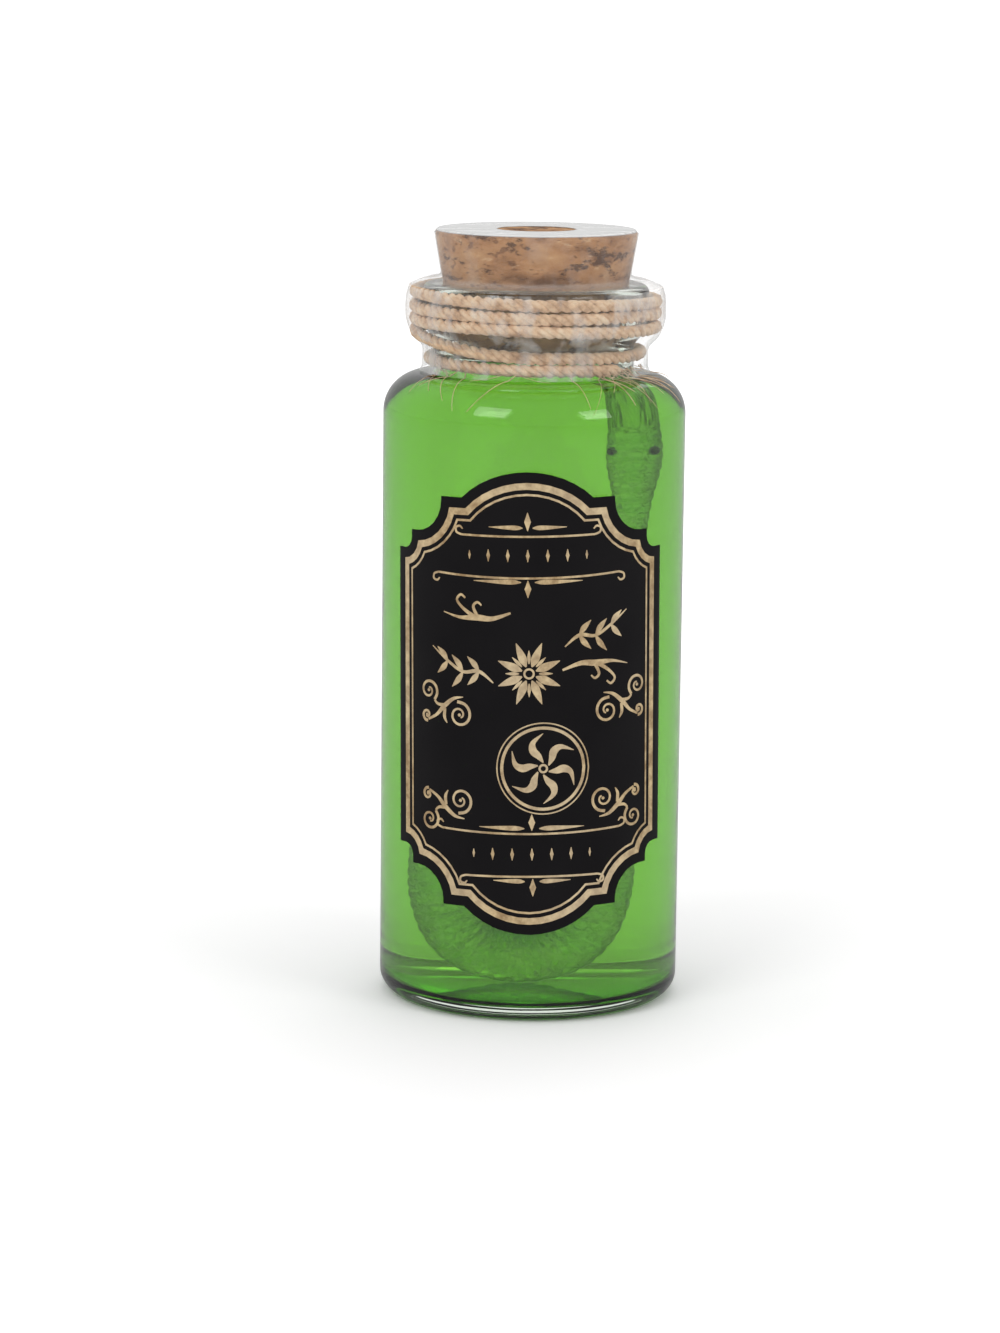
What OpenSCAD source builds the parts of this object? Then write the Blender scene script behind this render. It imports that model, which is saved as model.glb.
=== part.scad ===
// Corked display bottle: clear glass filled with green liquid, a rubber snake folded inside,
// a tapered cork, a twine winding round the lip and neck, a shrink film and a plaque label.
// Millimetres. The origin is the middle of the base, +Z is up and the label faces -Y.

/* [Bottle] */
// Outside diameter of the body
body_d = 50; // [48:0.5:62]
// Height from the table to the crest of the shoulder
body_h = 104.5; // [86:0.5:130]
// Thickness of the side wall
wall = 2; // [1.4:0.1:2.6]
// Thickness of the glass floor
floor_t = 2.4; // [2:0.1:6]
// Radius of the rounded heel
heel_r = 3.6; // [2.6:0.1:4.4]
// Outside radius of the rounded shoulder
shoulder_r = 6.5; // [5:0.1:6.8]
// Depth of the hollow under the base
punt_h = 0.9; // [0.4:0.1:1.4]
// Width of the ring that the bottle stands on
foot_w = 3.4; // [2:0.1:5]

/* [Neck and lip] */
// Outside diameter of the neck
neck_d = 32.6; // [28:0.1:33.4]
// Wall of the neck
neck_wall = 1.6; // [1.2:0.1:2.4]
// Height from the crest of the shoulder to the mouth
neck_h = 14.7; // [13.6:0.1:18]
// Outside diameter of the thick lip
lip_d = 37.4; // [35:0.1:40]
// Height of the straight outside of the lip
lip_h = 7; // [6.6:0.1:8.4]
// Height of the slope under the lip
lip_slope = 2.8; // [2.4:0.1:3.2]
// Rounding of the lip's top edge
lip_round = 1.4; // [0.8:0.1:1.6]
// Depth of the flare inside the mouth
flare_h = 6; // [4:0.1:8]

/* [Stopper] */
// Diameter of the cork where it meets the mouth
cork_d = 30.6; // [27:0.1:31.4]
// Radius that the cork gains in each millimetre of height
cork_taper = 0.16; // [0.1:0.01:0.18]
// Height of the cork above the mouth
cork_up = 8.7; // [6:0.1:12]
// Depth of the cork in the mouth
cork_in = 11.8; // [8:0.1:12.4]
// Bevel on both edges of the cork
cork_bevel = 0.4; // [0.2:0.1:0.8]
// Gap between the cork and the mouth
cork_gap = 0.05; // [0.02:0.01:0.2]

/* [Twine] */
// Diameter of the twine, thinner than the real one so that its turns stay apart
twine_d = 1.7; // [1.3:0.05:1.74]
// Rise of the twine in one turn
twine_pitch = 2.15; // [2.15:0.05:2.3]
// Gap between the twine and the glass
twine_gap = 0.2; // [0.1:0.05:0.4]
// Turns round the neck
neck_turns = 1.12; // [1:0.01:1.2]
// Share of a turn in which the twine climbs onto the lip
climb_turns = 0.3; // [0.25:0.01:0.4]
// Turns round the lip
lip_turns = 3.18; // [2.6:0.01:3.2]
// Angle of the lower end, to the right of the label's middle
twine_start = 50; // [0:1:180]

/* [Film] */
// Thickness of the film
film_t = 0.12; // [0.1:0.01:0.2]
// Gap between the film and the cork
film_gap = 0.06; // [0.04:0.01:0.2]
// Room between the lip's twine and the film
film_puff = 0.85; // [0.4:0.05:1.2]
// Diameter of the open hole on top of the cork
film_hole_d = 13; // [6:0.5:20]
// Gap along the tear line round the lip
tear_gap = 0.3; // [0.2:0.05:0.5]

/* [Label] */
// Width of the label, measured round the body
label_w = 50.6; // [44:0.1:60]
// Glass left bare between the heel and the label
label_low = 11.5; // [4:0.5:14]
// Glass left bare between the label and the shoulder
label_top = 7; // [3:0.5:12]
// Thickness of the paper
label_t = 0.14; // [0.1:0.01:0.3]
// Thickness of the glue under the label
glue_t = 0.03; // [0.02:0.01:0.1]
// Turn of the label, counterclockwise as seen
label_tilt = 1; // [-3:0.1:3]
// Distance of the label's middle from the front, to the right
label_shift = -0.45; // [-3:0.05:3]
// Distance from the label's edge to the foil border
border_inset = 1.7; // [1:0.1:2.4]
// Width of the border's broad band
band_w = 1.1; // [0.6:0.05:1.4]
// Bare strip between the broad band and the thin line
band_gap = 0.65; // [0.3:0.05:1]
// Width of the border's thin line
line_w = 0.36; // [0.2:0.02:0.6]
// Thickness of the foil
foil_t = 0.05; // [0.04:0.01:0.1]

/* [Contents] */
// Air left between the liquid and the cork
head_space = 1.8; // [1:0.1:2.6]
// Gap between the liquid and the glass
wet_gap = 0.02; // [0.01:0.01:0.1]
// Gap between the liquid and the snake
snake_gap = 0.05; // [0.03:0.01:0.2]
// Radius of the snake at its thickest
snake_r = 4.6; // [3.4:0.1:5.4]
// Radius of the bend at the bottom, along the snake's middle
bend_r = 10; // [7:0.1:11]
// Room left between the snake's nose and the glass above it
snake_room = 0.7; // [0.4:0.1:4]

/* [Hidden] */
$fn = 96;
arc_steps = 8;

body_r = body_d / 2;
inner_r = body_r - wall;
neck_r = neck_d / 2;
neck_in = neck_r - neck_wall;
neck_fillet = 0.8;
mouth_z = body_h + neck_h;
lip_r = lip_d / 2;
lip_low = mouth_z - lip_h;
mouth_r = cork_d / 2 + cork_gap;
mouth_round = 0.4;
wall_top = body_h - shoulder_r;
inner_heel = 3;
inner_corner = 1;
ceiling_z = body_h - wall;

// Points along an arc in the plane of radius and height, from angle a to angle b
function arc(cr, cz, r, a, b, n = arc_steps) =
    [for (i = [0:n]) let (t = a + (b - a) * i / n) [cr + r * cos(t), cz + r * sin(t)]];

// The same list of points, last to first
function backwards(list) = [for (i = [len(list) - 1:-1:0]) list[i]];

// A smooth curve through a list of points, with n steps between neighbours
function spline_at(p, i, t) =
    let (last = len(p) - 1, a = p[max(i - 1, 0)], b = p[i], c = p[min(i + 1, last)], d = p[min(i + 2, last)])
    0.5 * (2 * b + (c - a) * t + (2 * a - 5 * b + 4 * c - d) * t * t + (3 * b - a - 3 * c + d) * t * t * t);
function spline(p, n) =
    concat([for (i = [0:len(p) - 2]) for (k = [0:n - 1]) spline_at(p, i, k / n)], [p[len(p) - 1]]);

// A value that eases from 0 to 1 as t goes from 0 to 1
function ease(t) = let (u = min(max(t, 0), 1)) u * u * (3 - 2 * u);

function unit(v) = v / norm(v);

// A closed tube: each ring is a list of points, and both ends are capped with a fan
module tube(rings) {
    n = len(rings);
    m = len(rings[0]);
    ones = [for (p = rings[0]) 1];
    first = ones * rings[0] / m;
    last = ones * rings[n - 1] / m;
    points = concat([for (ring = rings) for (p = ring) p], [first, last]);
    sides = [for (i = [0:n - 2]) for (j = [0:m - 1]) let (a = i * m + j, b = i * m + (j + 1) % m)
        each [[a, b + m, b], [a, a + m, b + m]]];
    caps = [for (j = [0:m - 1]) let (k = (j + 1) % m, top = (n - 1) * m)
        each [[n * m, j, k], [n * m + 1, top + k, top + j]]];
    polyhedron(points = points, faces = concat(sides, caps), convexity = 8);
}

// Glass

// The ring that it stands on, the hollow under it and the heel
punt_in = body_r - heel_r - foot_w;
punt_arc_r = (punt_in * punt_in + punt_h * punt_h) / (2 * punt_h);
punt_angle = asin(punt_in / punt_arc_r);
outer_profile = concat(
    arc(0, punt_h - punt_arc_r, punt_arc_r, 90, 90 - punt_angle, 6),
    arc(body_r - heel_r, heel_r, heel_r, -90, 0),
    arc(body_r - shoulder_r, wall_top, shoulder_r, 0, 90, 12),
    arc(neck_r + neck_fillet, body_h + neck_fillet, neck_fillet, 270, 180, 4),
    [[neck_r, lip_low - lip_slope], [lip_r, lip_low]],
    arc(lip_r - lip_round, mouth_z - lip_round, lip_round, 0, 90, 6)
);

// The inside from the middle of the floor up to the start of the mouth's flare
function inner_profile(gap, top_z) = concat(
    [[0, floor_t + gap]],
    arc(inner_r - inner_heel, floor_t + inner_heel, inner_heel - gap, -90, 0),
    arc(body_r - shoulder_r, wall_top, shoulder_r - wall - gap, 0, 90, 12),
    arc(neck_in + inner_corner, ceiling_z + inner_corner, inner_corner + gap, 270, 180, 4),
    [[neck_in - gap, top_z]]
);

module glass_bottle() {
    inside = inner_profile(0, mouth_z - flare_h);
    mouth = arc(mouth_r + mouth_round, mouth_z - mouth_round, mouth_round, 90, 180, 3);
    color([0.82, 0.9, 0.86, 0.35])
    rotate_extrude()
    polygon(concat(outer_profile, mouth, backwards(inside)));
}

// Contents

cork_low = mouth_z - cork_in;
liquid_z = cork_low - head_space;

// The snake hangs in a U: its tail ends behind the label, its head is up on the right
snake_low = floor_t + wet_gap + snake_gap + snake_r;
snake_top = ceiling_z - wall - snake_room;
limb_h = snake_top - snake_low - bend_r;
bend_x = -1.2;
// The height of a point on a limb, as a share of the limb's length above the bend
function limb_z(share) = snake_low + bend_r + share * limb_h;
snake_path = spline([
    [bend_x - bend_r + 4.5, 3, limb_z(0.56)],
    [bend_x - bend_r + 1.2, 2.5, limb_z(0.36)],
    [bend_x - bend_r - 0.6, 1.5, limb_z(0.16)],
    [bend_x - bend_r, 0.5, limb_z(0)],
    [bend_x - bend_r * cos(50), 0, snake_low + bend_r * (1 - sin(50))],
    [bend_x, 0, snake_low],
    [bend_x + bend_r * cos(50), 0.5, snake_low + bend_r * (1 - sin(50))],
    [bend_x + bend_r, 1, limb_z(0)],
    [bend_x + bend_r + 1, 2, limb_z(0.18)],
    [bend_x + bend_r + 1.6, 3, limb_z(0.4)],
    [bend_x + bend_r + 2.4, 4, limb_z(0.6)],
    [bend_x + bend_r + 2.8, 4.5, limb_z(0.78)],
    [bend_x + bend_r + 3, 4.5, limb_z(0.9)],
    [bend_x + bend_r + 2.8, 4, limb_z(1)]
], 5);
snake_rings = len(snake_path);
snake_sides = 12;
// Half width of the snake against the share of its length, from the tail's tip to the nose
tail_share = 0.3;
neck_share = 0.82;
head_share = 0.92;
tip_r = 0.5;
nape_r = 1.9;
head_r = 3.4;
nose_r = 1.1;
function snake_width(s) =
    s < tail_share ? tip_r + (snake_r - tip_r) * ease(s / tail_share) :
    s < neck_share ? snake_r + (nape_r - snake_r) * ease((s - 0.42) / (neck_share - 0.42)) :
    s < head_share ? nape_r + (head_r - nape_r) * ease((s - neck_share) / (head_share - neck_share)) :
    nose_r + (head_r - nose_r) * sqrt(max(1 - pow((s - head_share) / (1 - head_share), 2), 0));
// The snake stands on the glass floor, where no liquid is under it
snake_foot_r = 1.2;
// The body is round and the head is flatter from front to back
function snake_flat(s) = 1 - 0.3 * ease((s - neck_share) / (head_share - neck_share));

module snake(extra) {
    tube([for (i = [0:snake_rings - 1])
        let (p = snake_path[i],
             t = unit(snake_path[min(i + 1, snake_rings - 1)] - snake_path[max(i - 1, 0)]),
             s = i / (snake_rings - 1),
             front = unit([0, 1, 0] - t[1] * t),
             side = cross(t, front),
             end = i == 0 ? -extra : i == snake_rings - 1 ? extra : 0,
             w = snake_width(s) + extra,
             d = snake_width(s) * snake_flat(s) + extra)
        [for (k = [0:snake_sides - 1]) let (a = 360 * k / snake_sides)
            p + end * t + w * cos(a) * side - d * sin(a) * front]]);
}

module green_liquid() {
    color([0.36, 0.74, 0.16, 0.6])
    difference() {
        rotate_extrude()
        polygon(concat(inner_profile(wet_gap, liquid_z), [[0, liquid_z]]));
        snake(snake_gap);
        translate([bend_x, 0, 0])
        cylinder(r = snake_foot_r, h = snake_low);
    }
}

module rubber_snake() {
    color([0.3, 0.72, 0.12]) snake(0);
}

// Stopper

function cork_r(z) = cork_d / 2 + (z - mouth_z) * cork_taper;
cork_top = mouth_z + cork_up;

module cork_stopper() {
    color([0.78, 0.6, 0.43])
    rotate_extrude()
    polygon([
        [0, cork_low],
        [cork_r(cork_low) - cork_bevel, cork_low],
        [cork_r(cork_low + cork_bevel), cork_low + cork_bevel],
        [cork_r(cork_top - cork_bevel), cork_top - cork_bevel],
        [cork_r(cork_top) - cork_bevel, cork_top],
        [0, cork_top]
    ]);
}

// Twine

twine_r = twine_d / 2;
neck_path_r = neck_r + twine_gap + twine_r;
lip_path_r = lip_r + twine_gap + twine_r;
twine_turns = neck_turns + climb_turns + lip_turns;
twine_high = mouth_z - twine_gap - twine_r;
climb_end = twine_high - lip_turns * twine_pitch;
twine_low = body_h + 0.65 + twine_r;
climb_start = twine_low + neck_turns * twine_pitch;
loop_rings = 24;
twine_sides = 6;

// How far the climb has gone, from 0 on the neck to 1 on the lip, after so many turns
function climbed(turn) = ease((turn - neck_turns) / climb_turns);
function twine_z(turn) =
    turn < neck_turns ? twine_low + turn * twine_pitch :
    turn < neck_turns + climb_turns ? climb_start + (climb_end - climb_start) * climbed(turn) :
    climb_end + (turn - neck_turns - climb_turns) * twine_pitch;
function twine_point(turn) =
    let (a = twine_start - 360 * turn, r = neck_path_r + (lip_path_r - neck_path_r) * climbed(turn))
    [r * sin(a), -r * cos(a), twine_z(turn)];

twine_steps = floor(twine_turns * loop_rings);
twine_coil = [for (i = [0:twine_steps]) twine_point(i / loop_rings)];
// Both ends run straight on for one diameter
twine_first = twine_coil[0] + twine_d * unit(twine_coil[0] - twine_coil[1]);
twine_last = twine_coil[twine_steps] + twine_d * unit(twine_coil[twine_steps] - twine_coil[twine_steps - 1]);
twine_path = concat([twine_first], twine_coil, [twine_last]);

// The least gap between one turn and any other, measured on the path's points
half_loop = loop_rings / 2;
twine_least_gap = min([for (i = [0:twine_steps - half_loop]) for (j = [i + half_loop:twine_steps])
    norm(twine_coil[i] - twine_coil[j])]) - twine_d;
echo(twine_least_gap = twine_least_gap);

module twine_wrap() {
    n = len(twine_path);
    color([0.8, 0.68, 0.54])
    tube([for (i = [0:n - 1])
        let (p = twine_path[i],
             t = unit(twine_path[min(i + 1, n - 1)] - twine_path[max(i - 1, 0)]),
             out = unit([p[0], p[1], 0] - (p[0] * t[0] + p[1] * t[1]) * t),
             up = cross(t, out))
        [for (k = [0:twine_sides - 1]) let (a = 360 * k / twine_sides)
            p + twine_r * (cos(a) * out - sin(a) * up)]]);
}

// Film

// The film stands off the lip's twine, draws in under the lip and flares at the shoulder
film_wide = lip_path_r + twine_r + film_puff;
film_narrow = neck_path_r + twine_r + 0.6;
cap_edge_r = film_wide - 0.75;
cap_edge_z = mouth_z - 0.15;
tent_z = mouth_z + 1.8;
hug = film_gap + film_t;
skirt_outside = spline([
    [cap_edge_r + tear_gap, cap_edge_z - tear_gap],
    [film_wide - 0.05, mouth_z - 1.9],
    [film_wide + 0.1, mouth_z - 3.8],
    [film_wide, mouth_z - 5.8],
    [film_wide - 0.6, lip_low - 0.7],
    [(film_wide + film_narrow) / 2, lip_low - 1.9],
    [film_narrow + 0.1, lip_low - 3.4],
    [film_narrow, (lip_low - 3.4 + body_h) / 2],
    [film_narrow + 0.05, body_h + 1],
    [film_narrow + 0.35, body_h + 0.3]
], 3);
cap_tent = spline([
    [cork_r(tent_z) + hug, tent_z],
    [cork_r(tent_z) + hug + 0.5, tent_z - 0.75],
    [(cork_r(tent_z) + cap_edge_r) / 2 + 0.4, mouth_z + 0.65],
    [cap_edge_r, cap_edge_z]
], 4);

// The same line moved inwards by the film's thickness
function inside_of(line) = [for (i = [0:len(line) - 1])
    let (t = unit(line[min(i + 1, len(line) - 1)] - line[max(i - 1, 0)])) line[i] + film_t * [t[1], -t[0]]];

module film(outside) {
    color([0.93, 0.94, 0.93, 0.25])
    rotate_extrude()
    polygon(concat(outside, backwards(inside_of(outside))));
}

module seal_cap() {
    film(concat(
        [[film_hole_d / 2, cork_top + hug], [cork_r(cork_top) - cork_bevel, cork_top + hug]],
        [[cork_r(cork_top) + hug, cork_top - cork_bevel]],
        cap_tent
    ));
}

module seal_skirt() {
    film(skirt_outside);
}

// Label

label_low_z = heel_r + label_low;
label_high_z = wall_top - label_top;
label_h = label_high_z - label_low_z;
label_mid_z = (label_high_z + label_low_z) / 2;
// The corner scallops and the arch, measured from the middle of the label
scallop_small = 1.9;
scallop_small_in = 1.7;
scallop_small_down = 11.55;
scallop_big = 5.3;
scallop_big_in = 5.1;
scallop_big_down = 5;
arch_r = 16;
arch_foot_down = 4.35;
half_w = label_w / 2;
half_h = label_h / 2;

// Where two circles cross, on the side towards the middle of the label
function crossing(c, r, d, s) =
    let (gap = norm(d - c), u = (d - c) / gap, along = (gap * gap + r * r - s * s) / (2 * gap))
    c + along * u + sqrt(max(r * r - along * along, 0)) * [-u[1], u[0]];
function angle_of(v) = 360 + atan2(v[1], v[0]);

// One quarter of the plaque, from its side to the top of its arch, drawn in by a distance
function plaque_quarter(inset) =
    let (small = scallop_small + inset,
         big = scallop_big + inset,
         low = [half_w - scallop_small_in, half_h - scallop_small_down],
         high = [half_w - scallop_big_in, half_h - scallop_big_down],
         meet = small + big > norm(high - low),
         corner = crossing(low, small, high, big),
         step_z = half_h - arch_foot_down - inset,
         arch = arch_r - inset,
         arch_z = half_h - arch_r,
         past_side = max(inset - scallop_small_in, 0),
         past_step = max(high[1] - step_z, 0))
    concat(
        past_side > 0 ? [] : [[half_w - inset, low[1] - small]],
        arc(low[0], low[1], small, 270 - asin(past_side / small), meet ? angle_of(corner - low) : 180, 4),
        meet ? [] : [[low[0] - small, high[1] - big]],
        arc(high[0], high[1], big, meet ? angle_of(corner - high) : 270, 180 + asin(past_step / big), 6),
        past_step > 0 ? [] : [[high[0] - big, step_z]],
        arc(0, arch_z, arch, asin((step_z - arch_z) / arch), 90, 6)
    );

// The whole outline, anticlockwise from the right side
function plaque(inset) =
    let (q = plaque_quarter(inset),
         left = [for (p = backwards(q)) if (p[0] > 0.001) [-p[0], p[1]]],
         upper = concat(q, left))
    concat(upper, [for (p = backwards(upper)) [-p[0], -p[1]] * [[-1, 0], [0, 1]]]);

// A point of the label's flat drawing, turned and shifted, as seen from the front once it is
// wrapped round the body: the distance round the body becomes x
function wrapped(p) =
    let (u = p[0] * cos(label_tilt) - p[1] * sin(label_tilt) + label_shift,
         v = p[0] * sin(label_tilt) + p[1] * cos(label_tilt))
    [body_r * sin(u / body_r * 180 / PI), v + label_mid_z];

// A layer on the front of the body, between two radii, inside the outline that is given
module layer(low_r, high_r) {
    intersection() {
        rotate([90, 0, 0])
        linear_extrude(height = body_d)
        children();
        difference() {
            cylinder(r = high_r, h = body_h);
            translate([0, 0, -1])
            cylinder(r = low_r, h = body_h + 2);
        }
    }
}

module outline(inset) {
    polygon([for (p = plaque(inset)) wrapped(p)]);
}

label_in = body_r + glue_t;
label_out = label_in + label_t;

module paper_label() {
    color([0.07, 0.06, 0.07])
    layer(label_in, label_out)
    outline(0);
}

module foil_border() {
    line_inset = border_inset + band_w + band_gap;
    color([0.83, 0.7, 0.48]) {
        layer(label_out, label_out + foil_t)
        difference() {
            outline(border_inset);
            outline(border_inset + band_w);
        }
        layer(label_out, label_out + foil_t)
        difference() {
            outline(line_inset);
            outline(line_inset + line_w);
        }
    }
}

glass_bottle();
green_liquid();
rubber_snake();
cork_stopper();
twine_wrap();
seal_cap();
seal_skirt();
paper_label();
foil_border();
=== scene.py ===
import bmesh
import bpy
import numpy as np
from mathutils import Matrix, Vector


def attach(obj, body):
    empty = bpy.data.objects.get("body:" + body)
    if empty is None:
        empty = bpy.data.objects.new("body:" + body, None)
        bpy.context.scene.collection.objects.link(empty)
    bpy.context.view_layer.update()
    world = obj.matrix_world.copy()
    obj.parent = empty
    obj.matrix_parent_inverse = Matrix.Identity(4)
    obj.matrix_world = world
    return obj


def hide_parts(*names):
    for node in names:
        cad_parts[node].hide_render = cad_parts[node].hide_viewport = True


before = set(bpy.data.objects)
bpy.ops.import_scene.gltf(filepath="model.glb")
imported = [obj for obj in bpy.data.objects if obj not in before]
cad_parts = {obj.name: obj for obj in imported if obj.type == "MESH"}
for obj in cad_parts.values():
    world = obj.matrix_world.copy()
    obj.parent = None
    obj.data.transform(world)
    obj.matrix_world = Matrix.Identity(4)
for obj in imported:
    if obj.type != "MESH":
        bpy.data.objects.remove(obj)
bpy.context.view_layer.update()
mm = 0.001  # sizes are written in millimetres, and the scene is in metres
draw = np.random.default_rng(7)
scene = bpy.context.scene
scene.view_settings.view_transform = "Standard"


# Materials

class Value:
    # A socket of one material; + - * and ** add Math nodes
    def __init__(self, look, socket):
        self.look, self.socket = look, socket

    def math(self, operation, first, second):
        return self.look.add("ShaderNodeMath", {"operation": operation}, {0: first, 1: second})

    def __add__(self, other):
        return self.math("ADD", self, other)

    def __radd__(self, other):
        return self.math("ADD", other, self)

    def __sub__(self, other):
        return self.math("SUBTRACT", self, other)

    def __rsub__(self, other):
        return self.math("SUBTRACT", other, self)

    def __mul__(self, other):
        return self.math("MULTIPLY", self, other)

    def __rmul__(self, other):
        return self.math("MULTIPLY", other, self)

    def __pow__(self, other):
        return self.math("POWER", self, other)


class Look:
    # One material, or the world, and the nodes in it
    def __init__(self, name, tree=None):
        if tree is None:
            self.material = bpy.data.materials.new(name)
            self.material.use_nodes = True
            tree = self.material.node_tree
        self.tree = tree
        self.tree.nodes.clear()

    def add(self, kind, settings=None, inputs=None, out=0):
        # Makes any node: its settings first, then the values or links of its sockets
        made = self.tree.nodes.new(kind)
        for key, value in (settings or {}).items():
            if key == "stops":
                self.setStops(made.color_ramp.elements, value)
            else:
                setattr(made, key, value)
        for key, value in (inputs or {}).items():
            socket = made.inputs[key]
            if isinstance(value, Value):
                self.tree.links.new(value.socket, socket)
            else:
                socket.default_value = (*value, 1) if socket.type == "RGBA" else value
        return Value(self, made.outputs[out]) if made.outputs else None

    def setStops(self, elements, stops):
        # A ramp starts with two stops; each one is a place from 0 to 1 and a colour
        while len(elements) < len(stops):
            elements.new(0.5)
        for element, (place, colour) in zip(elements, stops):
            element.position, element.color = place, (*colour, 1)

    def place(self, scale=(1, 1, 1)):
        spot = self.add("ShaderNodeTexCoord", out="Object")
        return self.add("ShaderNodeMapping", None, {"Vector": spot, "Scale": scale})

    def noise(self, where, scale, detail=4, rough=0.55):
        return self.add("ShaderNodeTexNoise", None,
                        {"Vector": where, "Scale": scale, "Detail": detail, "Roughness": rough})

    def ramp(self, factor, *stops):
        return self.add("ShaderNodeValToRGB", {"stops": stops}, {"Fac": factor})

    def mask(self, factor, low, high):
        # 0 up to low, 1 from high on, and even between them
        return self.add("ShaderNodeMapRange", None, {0: factor, 1: low, 2: high})

    def mix(self, factor, first, second):
        return self.add("ShaderNodeMix", {"data_type": "RGBA"}, {0: factor, 6: first, 7: second}, out=2)

    def bump(self, height, distance, strength):
        return self.add("ShaderNodeBump", None,
                        {"Height": height, "Distance": distance, "Strength": strength})

    def finish(self, inputs, volume=None):
        ends = {"Surface": self.add("ShaderNodeBsdfPrincipled", None, inputs)}
        if volume is not None:
            ends["Volume"] = volume
        self.add("ShaderNodeOutputMaterial", None, ends)
        return self.material


# Surfaces

def rawMesh(name, corners, faces, smooth=True):
    # A new object from corners in millimetres and the corner numbers of each face
    mesh = bpy.data.meshes.new(name)
    mesh.from_pydata((corners * mm).tolist(), [], faces)
    mesh.polygons.foreach_set("use_smooth", np.full(len(mesh.polygons), smooth))
    mesh.update()
    piece = bpy.data.objects.new(name, mesh)
    scene.collection.objects.link(piece)
    return piece


def gridFaces(rows, columns, alongLoop=False):
    # Quads between neighbours on a grid whose rows are rings; alongLoop joins the last ring to the first
    i, j = np.meshgrid(np.arange(rows if alongLoop else rows - 1), np.arange(columns), indexing="ij")
    i, j = i.ravel(), j.ravel()
    nextI, nextJ = (i + 1) % rows, (j + 1) % columns
    return np.stack([i * columns + j, i * columns + nextJ, nextI * columns + nextJ, nextI * columns + j], 1)


def gridMesh(name, points, alongLoop=False, capEnds=False):
    # points[i, j] is point j of ring i; capped ends close on the middle of the first and last ring
    rows, columns = points.shape[:2]
    corners = points.reshape(-1, 3)
    faces = gridFaces(rows, columns, alongLoop).tolist()
    if capEnds:
        corners = np.vstack([corners, points[0].mean(0), points[-1].mean(0)])
        a = np.arange(columns)
        b = (a + 1) % columns
        last = (rows - 1) * columns
        foot = np.stack([np.full(columns, rows * columns), b, a], 1)
        head = np.stack([np.full(columns, rows * columns + 1), last + a, last + b], 1)
        faces += foot.tolist() + head.tolist()
    return rawMesh(name, corners, faces)


def tidyNormals(piece):
    # Merges doubles and points every face outwards
    work = bmesh.new()
    work.from_mesh(piece.data)
    bmesh.ops.remove_doubles(work, verts=work.verts, dist=1e-7)
    bmesh.ops.dissolve_degenerate(work, edges=work.edges, dist=1e-8)
    bmesh.ops.recalc_face_normals(work, faces=work.faces)
    work.to_mesh(piece.data)
    work.free()
    return piece


def resample(line, step):
    # The same polyline with a point at least every step, its own corners kept
    line = np.asarray(line, float)
    parts = []
    for a, b in zip(line[:-1], line[1:]):
        count = max(int(np.ceil(np.linalg.norm(b - a) / step)), 1)
        parts.append(a + (b - a) * np.arange(count)[:, None] / count)
    return np.vstack(parts + [line[-1:]])


def arc(middleR, middleZ, r, fromAngle, toAngle, parts=16):
    # Points of a circle in a profile, in equal steps of angle
    t = np.radians(np.linspace(fromAngle, toAngle, parts + 1))
    return np.stack([middleR + r * np.cos(t), middleZ + r * np.sin(t)], 1)


def spline(points, steps):
    # Catmull-Rom curve: each span is a cubic of its four nearest points
    p = np.asarray(points, float)
    q = np.vstack([p[:1], p, p[-1:]])
    t = (np.arange(steps) / steps)[None, :, None]
    a, b, c, d = (q[k:len(q) - 3 + k][:, None] for k in range(4))
    curve = 0.5 * (2 * b + (c - a) * t + (2 * a - 5 * b + 4 * c - d) * t ** 2
                   + (3 * b - a - 3 * c + d) * t ** 3)
    return np.vstack([curve.reshape(-1, p.shape[1]), p[-1:]])


def runOf(path):
    # The length of a path up to each of its points
    return np.concatenate([[0], np.cumsum(np.linalg.norm(np.diff(path, axis=0), axis=1))])


def headings(path):
    # The direction of a path at each of its points, of length 1
    ahead = np.gradient(path, axis=0)
    return ahead / np.linalg.norm(ahead, axis=1, keepdims=True)


def ease(t):
    # Rises from 0 to 1 with level ends, and stays there outside them
    u = np.clip(t, 0, 1)
    return u * u * (3 - 2 * u)


def turned(name, line, sides, swell=None):
    # A profile of (radius, height) turned about the axis; swell(angle, r, z) is added to the radius
    onAxis = 0.01
    a = 2 * np.pi * np.arange(sides) / sides
    r = np.repeat(line[:, :1], sides, 1)
    z = np.repeat(line[:, 1:], sides, 1)
    if swell is not None:
        r = np.maximum(r + swell(a[None, :], r, z) * (r > onAxis), 0)
    points = np.stack([r * np.sin(a), -r * np.cos(a), z], -1)
    return tidyNormals(gridMesh(name, points, alongLoop=line[0, 0] > onAxis))


def tubes(name, paths, radii, sides):
    # Each ring lies across the line between the path points before and after its own;
    # paths[n, i] are points, radii[n, i] are half widths
    t = np.concatenate([paths[:, 1:], paths[:, -1:]], 1) - np.concatenate([paths[:, :1], paths[:, :-1]], 1)
    t /= np.linalg.norm(t, axis=-1, keepdims=True)
    across = np.zeros_like(t)
    across[..., 2] = 1
    across[np.abs(t[:, :, 2]).max(1) > 0.9] = (0, 1, 0)  # a path that stands upright is crossed with Y
    u = np.cross(across, t)
    u /= np.linalg.norm(u, axis=-1, keepdims=True)
    v = np.cross(t, u)
    a = 2 * np.pi * np.arange(sides) / sides
    ring = u[:, :, None] * np.cos(a)[:, None] + v[:, :, None] * np.sin(a)[:, None]
    points = paths[:, :, None] + ring * radii[:, :, None, None]
    count, rows = paths.shape[:2]
    one = gridFaces(rows, sides).tolist()
    one += [list(range(sides - 1, -1, -1)), [(rows - 1) * sides + k for k in range(sides)]]
    faces = [[k + n * rows * sides for k in face] for n in range(count) for face in one]
    return rawMesh(name, points.reshape(-1, 3), faces)


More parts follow.
